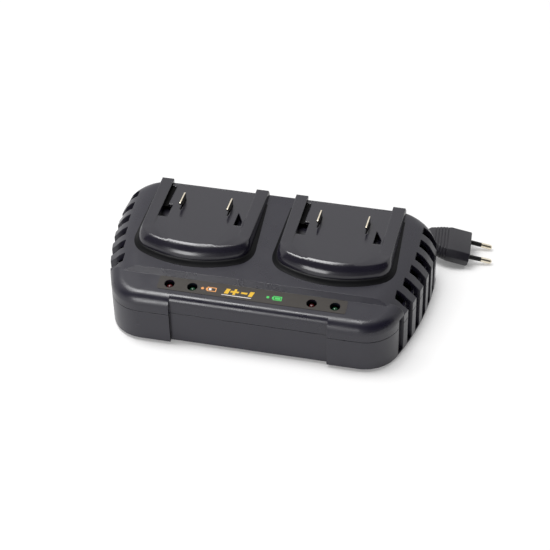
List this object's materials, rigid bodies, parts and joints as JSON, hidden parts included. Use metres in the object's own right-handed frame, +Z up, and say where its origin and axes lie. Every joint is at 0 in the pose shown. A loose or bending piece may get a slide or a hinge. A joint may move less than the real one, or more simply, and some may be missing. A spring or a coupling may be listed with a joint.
{
  "type": "power tool battery charger",
  "caption": "Low, wide mains charger for slide-on tool batteries: nosed dock shoes with contact blades, finned vented sides, a sloping lamp panel, and a lead with a round-pin plug.",
  "frame": {"origin": "middle of the charger body's footprint, on the surface it stands on; the lead and its plug are left out", "axes": "+X along the row of bays, to the right as seen from the lamp panel; +Y from the lamp panel towards the rear wall; +Z up"},
  "size_m": [0.2945, 0.1776, 0.0683],
  "materials": {
    "housing_plastic": "satin textured charcoal moulding",
    "carrier_plastic": "matte black moulding",
    "contact_metal": "tinned spring brass, brushed",
    "copper_strap": "plain copper strip",
    "foot_rubber": "matte",
    "screw_steel": "zinc plated",
    "label_film": "printed film, semi-gloss",
    "circuit_board": "solder resist",
    "red_lens": "tinted clear",
    "green_lens": "tinted clear",
    "ribbon_cable": "soft grey jacket",
    "ferrite": "sintered, dull",
    "winding_tape": "taped",
    "capacitor_sleeve": "shrink sleeve",
    "choke_wire": "enamelled wire",
    "fuse_case": "moulded case",
    "sink_aluminium": "extruded",
    "component_epoxy": "moulded epoxy",
    "cord_jacket": "soft extruded jacket",
    "tie_plastic": "coated wire tie",
    "plug_plastic": "satin moulding",
    "pin_brass": "nickel-washed brass",
    "sleeve_plastic": "moulded sleeve"
  },
  "bodies": {
    "root": {"upper_housing": "housing_plastic", "lower_housing": "housing_plastic", "left_dock_shoe": "housing_plastic", "right_dock_shoe": "housing_plastic", "left_contact_carrier": "carrier_plastic", "right_contact_carrier": "carrier_plastic", "left_contact_blades": "contact_metal", "right_contact_blades": "contact_metal", "left_dock_straps": "copper_strap", "right_dock_straps": "copper_strap", "rubber_feet": "foot_rubber", "housing_screws": "screw_steel", "dock_screws": "screw_steel", "board_screws": "screw_steel", "label_overlay": "label_film", "lamp_board": "circuit_board", "main_board": "circuit_board", "red_lamps": "red_lens", "green_lamps": "green_lens", "lamp_ribbon": "ribbon_cable", "transformer_cores": "ferrite", "transformer_windings": "winding_tape", "bulk_capacitors": "capacitor_sleeve", "output_capacitors": "capacitor_sleeve", "input_choke": "choke_wire", "mains_fuse": "fuse_case", "heat_sinks": "sink_aluminium", "power_transistors": "component_epoxy", "cord_strain_relief": "cord_jacket", "cord_hank": "cord_jacket", "cord_tie": "tie_plastic", "power_cord": "cord_jacket", "plug_body": "plug_plastic", "plug_pins": "pin_brass", "plug_pin_sleeves": "sleeve_plastic"}
  },
  "joints": []
}
